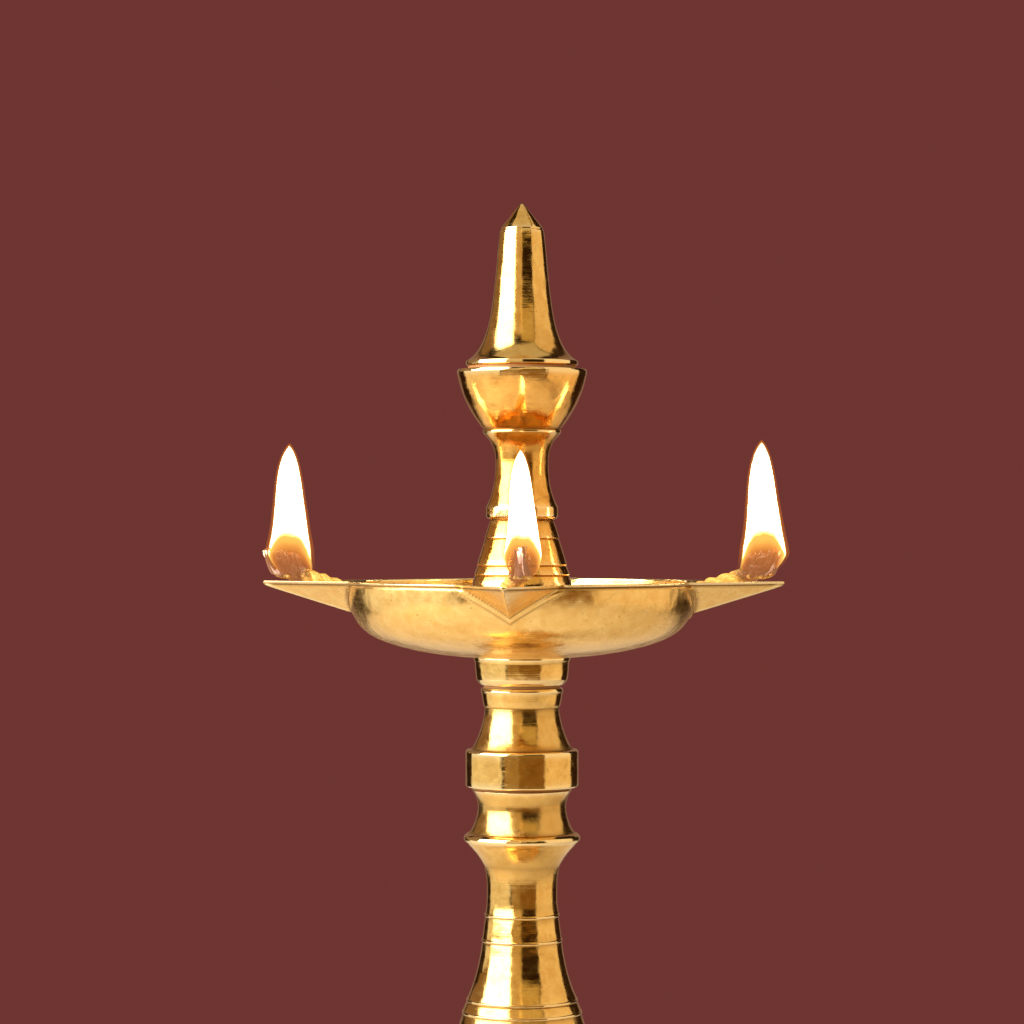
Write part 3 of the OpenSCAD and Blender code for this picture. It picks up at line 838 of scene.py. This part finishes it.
def add_tuft(bundle, rng):
    """The opened ends of the strands: a fan that leans out over the spout's point."""
    t = np.linspace(0, 1, 12)[:, None]
    for k in range(TUFT_COUNT):
        share = rng.uniform(0, 1)
        root = np.array([58.4 + 8.0 * share + rng.normal(0, 0.4), rng.normal(0, 1.0),
                         0.4 + 0.9 * (1 - share)])
        top = np.array([60.6 + 9.4 * share + rng.normal(0, 0.35), rng.normal(0, 0.9), 6.4 + 1.9 * share])
        top[2] += rng.normal(0, 0.5)
        middle = (root + top) / 2 + rng.normal(0, 0.3, 3) + np.array([0.7, 0, -0.5])
        centres = bend(t, root, middle, top)
        centres = centres + 0.14 * np.sin(t * 9 + k) * rng.normal(0, 1, 3) * t
        radii = rng.uniform(0.4, 0.75) * (1 - 0.55 * t[:, 0] ** 1.5)
        char = np.clip(0.5 + 0.2 * t[:, 0] + rng.uniform(-0.12, 0.3) - 0.4 * (t[:, 0] < 0.1), 0, 1)
        # some strands get a faint pale painted glow for the flame's light on them
        bundle.add(centres, radii, 7, char, 0.0, 0.0, rng.choice([0.0, 0.0, 0.12, 0.25]))


def add_pale_ends(bundle, rng):
    """The tuft's outer strands, with a pale painted glow for the flame's light on them, up to the ember at
    the outer corner.
    """
    t = np.linspace(0, 1, 12)[:, None]
    for _ in range(PALE_COUNT):
        root = np.array([63.4 + rng.uniform(0, 1.8), rng.normal(0, 0.8), 0.7])
        top = np.array([70.0 + rng.uniform(-0.5, 0.4), rng.normal(0, 0.45), 8.0 + rng.uniform(-0.7, 0.4)])
        middle = (root + top) / 2 + np.array([1.5, rng.normal(0, 0.3), -1.3])
        radii = rng.uniform(0.3, 0.5) * (1 - 0.35 * t[:, 0])
        glow = np.clip((t[:, 0] - 0.86) * 8, 0, 1)
        bundle.add(bend(t, root, middle, top), radii, 7, 0.5, glow, 0.0, np.clip(t[:, 0] * 4, 0, 1))


def add_fibres(bundle, rng):
    """Loose fibres along the strands."""
    t = np.linspace(0, 1, 6)[:, None]
    for _ in range(FIBRE_COUNT):
        s = rng.uniform(1.0, WICK_LENGTH - 6)
        x, z, run = (float(v) for v in wick_line(s))
        angle = rng.uniform(0, 2 * pi)
        out = np.array([-sin(angle) * sin(run), cos(angle), sin(angle) * cos(run)])
        along = np.array([cos(run), 0, sin(run)]) * rng.choice([-1, 1])
        base = np.array([x, 0, z]) + out * 2.1
        length = rng.uniform(0.9, 2.6)
        droop = rng.normal(0, 0.35, 3)
        away = out * (0.75 * t * (1.2 - t)) * rng.uniform(0.5, 1.2)
        centres = base + along * length * t + away + droop * t ** 2
        bundle.add(centres, np.linspace(0.075, 0.03, 6), 4, charred(s), 0.0, lit_through(s))


def wick_piece(side, turn, seed):
    """Twisted cotton that lies in the spout and opens into a charred tuft where it burns."""
    rng = np.random.default_rng(seed)
    bundle = Bundle()
    for add in (add_strands, add_tuft, add_pale_ends, add_fibres):
        add(bundle, rng)
    points = np.concatenate(bundle.points)
    aside = veer(side, points[:, 0])
    points[:, 1] += aside
    lifted = points[:, 2] + VEER_LIFT * aside
    points[:, 2] = np.maximum(lifted, resting_height(points[:, 0], points[:, 1])) + RIM
    rotated = np.stack([*rotate(points[:, 0], points[:, 1], turn), points[:, 2]], -1)
    values = {key: np.concatenate(v) for key, v in bundle.values.items()}
    node = "wick_" + side
    return add_piece(node + "_cotton", rotated, bundle.faces, values, COTTON, node, [node])


for number, (side, turn) in enumerate(SPOUT_TURNS.items()):
    wick_piece(side, turn, 11 + number)


# ---- flames ----

FLAME_LAYERS = (
    # name, share of the width, share of the height, look
    ("core", 0.94, 0.985, flame_body_look()),
    ("mantle", 0.972, 0.993, flame_skin_look("flame_mantle", (1.0, 0.72, 0.20), 1.5, 0.5)),
    ("edge", 1.0, 1.0, flame_skin_look("flame_edge", (1.0, 0.34, 0.03), 1.0, 0.45)),
    ("glow", 1.12, 1.012, flame_skin_look("flame_glow", (1.0, 0.26, 0.03), 0.8, 0.16)),
)
# the heights of the flame's foot and tip over the bowl's rim
FLAME_FOOT = 0.9
FLAME_TIP = 36.9
# half the flame's width at heights over the bowl's rim
FLAME_AT = np.array([0.9, 1.5, 3.0, 5.0, 7.0, 9.3, 12.4, 15.5,
                     18.6, 21.7, 24.8, 27.9, 31.1, 34.2, 36.0, 36.9])
FLAME_HALF = np.array([2.7, 3.9, 5.0, 5.6, 6.1, 5.8, 5.2, 4.75,
                       4.4, 4.0, 3.7, 3.3, 2.7, 1.75, 0.8, 0.0])
# how far the flame's foot leans in towards the bowl, along the wick
FLAME_LEAN = np.array([-2.7, -2.4, -1.7, -0.7, 0.0] + [0.0] * 11)
# each flame's distance from the axis, its share of the usual height, and which way its bright flanks face
FLAME_PLACE = {"right": (65.2, 1.02, 0.0), "back": (64.2, 0.9, 90.0), "left": (63.6, 1.0, 0.0),
               "front": (64.2, 0.9, 90.0)}


def flame_piece(side, turn, layer, phase):
    """One layer of a flame, which stands on its wick."""
    name, wide, tall, look = layer
    centre_r, scale, flank = FLAME_PLACE[side]
    around = 40
    rows = 56
    t = np.linspace(0, 1, rows)
    height = FLAME_FOOT + (FLAME_TIP * tall - FLAME_FOOT) * t
    at = FLAME_FOOT + (FLAME_TIP - FLAME_FOOT) * t
    half = np.interp(at, FLAME_AT, FLAME_HALF)
    lean = np.interp(at, FLAME_AT, FLAME_LEAN)
    smooth = np.convolve(np.pad(half, 1, mode="edge"), np.ones(3) / 3, "valid")
    smooth[-2:] = half[-2:]
    angle = np.arange(around) * 2 * pi / around
    # the flame wavers a little as it rises
    rise = height / FLAME_TIP
    centre = centre_r + lean - 0.5 * rise + 0.25 * np.sin(height * 0.16 + phase)
    sway = VEER.get(side, 0.0) + 0.3 * np.sin(height * 0.13 + phase * 1.7)
    radial = smooth * wide
    across = smooth * wide * (0.82 if side == "front" else 0.75)
    x = centre[:, None] + radial[:, None] * np.cos(angle)
    y = sway[:, None] + across[:, None] * np.sin(angle)
    lift = RIM + VEER_LIFT * VEER.get(side, 0.0)
    z = np.repeat(lift + height[:, None] * scale, around, 1)
    points = np.stack([*rotate(x, y, turn), z], -1).reshape(-1, 3)
    points = points[:(rows - 1) * around]
    faces = grid_faces(rows - 1, around)
    # the fire reaches lower along two flanks than between them
    reach = 6.5 * np.abs(np.cos(angle - radians(flank))) ** 4
    level = (height[:-1, None] + reach).ravel()
    ends = [[*rotate(centre[k], sway[k], turn), lift + height[k] * scale] for k in (-1, 0)]
    points = np.vstack([points, *ends])
    top = len(points) - 2
    last = (rows - 2) * around
    for k in range(around):
        faces.append([top, last + k, last + (k + 1) % around])
        faces.append([top + 1, (k + 1) % around, k])
    level = np.append(level, [height[-1], height[0]])
    return add_piece(f"flame_{side}_{name}", points, faces, {"level": level}, look, "wick_" + side)


for number, (side, turn) in enumerate(SPOUT_TURNS.items()):
    for layer in FLAME_LAYERS:
        flame_piece(side, turn, layer, 1.3 * number)


# ---- floor, light and camera ----

def floor_piece():
    """A pale floor that fades out before it meets the background."""
    n = Nodes("pale_floor")
    place = n.place()
    radius = n.from_axis(place)[3]
    tone = n.mix(n.noise(place, 8.0, 3.0), (0.62, 0.575, 0.52, 1), (0.68, 0.635, 0.58, 1))
    n.principled(Base_Color=tone, Roughness=0.75, Alpha=n.ramp(radius, 0.62, 0.95, 1.0, 0.0))
    mesh = bpy.data.meshes.new("floor")
    reach = 0.96
    around = 96
    rings = [0.05, 0.2, 0.5, reach]
    points = [(r * cos(2 * pi * k / around), r * sin(2 * pi * k / around), 0.0)
              for r in rings for k in range(around)]
    faces = [face[::-1] for face in grid_faces(len(rings), around)]
    faces.append(list(range(around)))
    mesh.from_pydata(points, [], faces)
    floor = bpy.data.objects.new("floor", mesh)
    bpy.context.scene.collection.objects.link(floor)
    floor.data.materials.append(n.material)


def world_light():
    """A dim amber light from all round, and the background's red-brown where the camera looks past."""
    world = bpy.data.worlds.new("studio")
    bpy.context.scene.world = world
    world.use_nodes = True
    tree = world.node_tree
    tree.nodes.clear()
    output = tree.nodes.new("ShaderNodeOutputWorld")
    lit = tree.nodes.new("ShaderNodeBackground")
    lit.inputs[0].default_value = (0.03, 0.014, 0.006, 1)
    seen = tree.nodes.new("ShaderNodeBackground")
    seen.inputs[0].default_value = (0.155, 0.036, 0.031, 1)
    path = tree.nodes.new("ShaderNodeLightPath")
    mix = tree.nodes.new("ShaderNodeMixShader")
    tree.links.new(path.outputs["Is Camera Ray"], mix.inputs[0])
    tree.links.new(lit.outputs[0], mix.inputs[1])
    tree.links.new(seen.outputs[0], mix.inputs[2])
    tree.links.new(mix.outputs[0], output.inputs[0])


def panel(name, bearing, distance, width, low, high, radiance, tone):
    """An upright soft light from height low to high, on a bearing from the lamp in degrees.
    Bearing 0 is towards the camera, and a positive one is to its right."""
    light = bpy.data.lights.new(name, "AREA")
    light.shape = "RECTANGLE"
    light.size = width
    light.size_y = high - low
    light.color = tone
    light.energy = radiance * pi * width * (high - low)
    lamp = bpy.data.objects.new(name, light)
    a = radians(CAMERA_BEARING + bearing)
    lamp.location = (distance * sin(a), -distance * cos(a), (low + high) / 2)
    lamp.rotation_euler = (pi / 2, 0, a)
    lamp.visible_camera = False
    bpy.context.scene.collection.objects.link(lamp)
    return lamp


CAMERA_BEARING = 4.0
CAMERA_DISTANCE = 0.9189
CAMERA_HEIGHT = 0.2971
CAMERA_ASIDE = -0.0027
LENS = 119.5
SENSOR = 36.0
# lights that stand round the lamp and are mirrored in the brass, in metres
PANELS = (
    # name, bearing, distance, width, lowest, highest, radiance, colour
    ("window_left", -65.5, 1.2, 1.59, 0.30, 2.4, 8.0, (1.0, 0.95, 0.86)),
    ("under_window", -83.5, 1.22, 2.16, -0.25, 0.30, 1.0, (1.0, 0.93, 0.78)),
    ("wall_front", -21.5, 1.3, 0.67, -0.25, 0.35, 0.38, (1.0, 0.66, 0.28)),
    ("wall_front_high", -16.0, 1.3, 0.73, 0.35, 1.6, 0.72, (1.0, 0.72, 0.36)),
    ("wall_dark", 19.5, 1.35, 1.35, -0.25, 0.35, 0.24, (1.0, 0.52, 0.12)),
    ("wall_high", 20.0, 1.35, 1.2, 0.85, 2.2, 0.7, (1.0, 0.74, 0.32)),
    ("wall_right", 83.0, 1.2, 1.74, -0.25, 2.4, 1.0, (1.0, 0.78, 0.5)),
    ("wall_left", -125.0, 1.35, 1.09, 0.3, 1.6, 0.28, (1.0, 0.62, 0.32)),
    ("back", 180.0, 1.3, 1.3, -0.1, 1.6, 0.25, (1.0, 0.62, 0.42)),
    ("ceiling", 0.0, 0.0, 2.0, 1.2, 3.2, 0.7, (1.0, 0.88, 0.66)),
)

floor_piece()
world_light()
lights = {row[0]: panel(*row) for row in PANELS}
# the ceiling's panel lies flat and shines down
lights["ceiling"].rotation_euler = (0, 0, 0)

bpy.context.scene.view_settings.view_transform = "Standard"

camera = bpy.data.objects.new("camera", bpy.data.cameras.new("camera"))
camera.data.lens = LENS
camera.data.sensor_width = SENSOR
camera.data.clip_start = 0.01
camera_turn = radians(CAMERA_BEARING)
camera.location = (CAMERA_DISTANCE * sin(camera_turn) + CAMERA_ASIDE * cos(camera_turn),
                   -CAMERA_DISTANCE * cos(camera_turn) + CAMERA_ASIDE * sin(camera_turn), CAMERA_HEIGHT)
camera.rotation_euler = (pi / 2, 0, camera_turn)
bpy.context.scene.collection.objects.link(camera)
bpy.context.scene.camera = camera
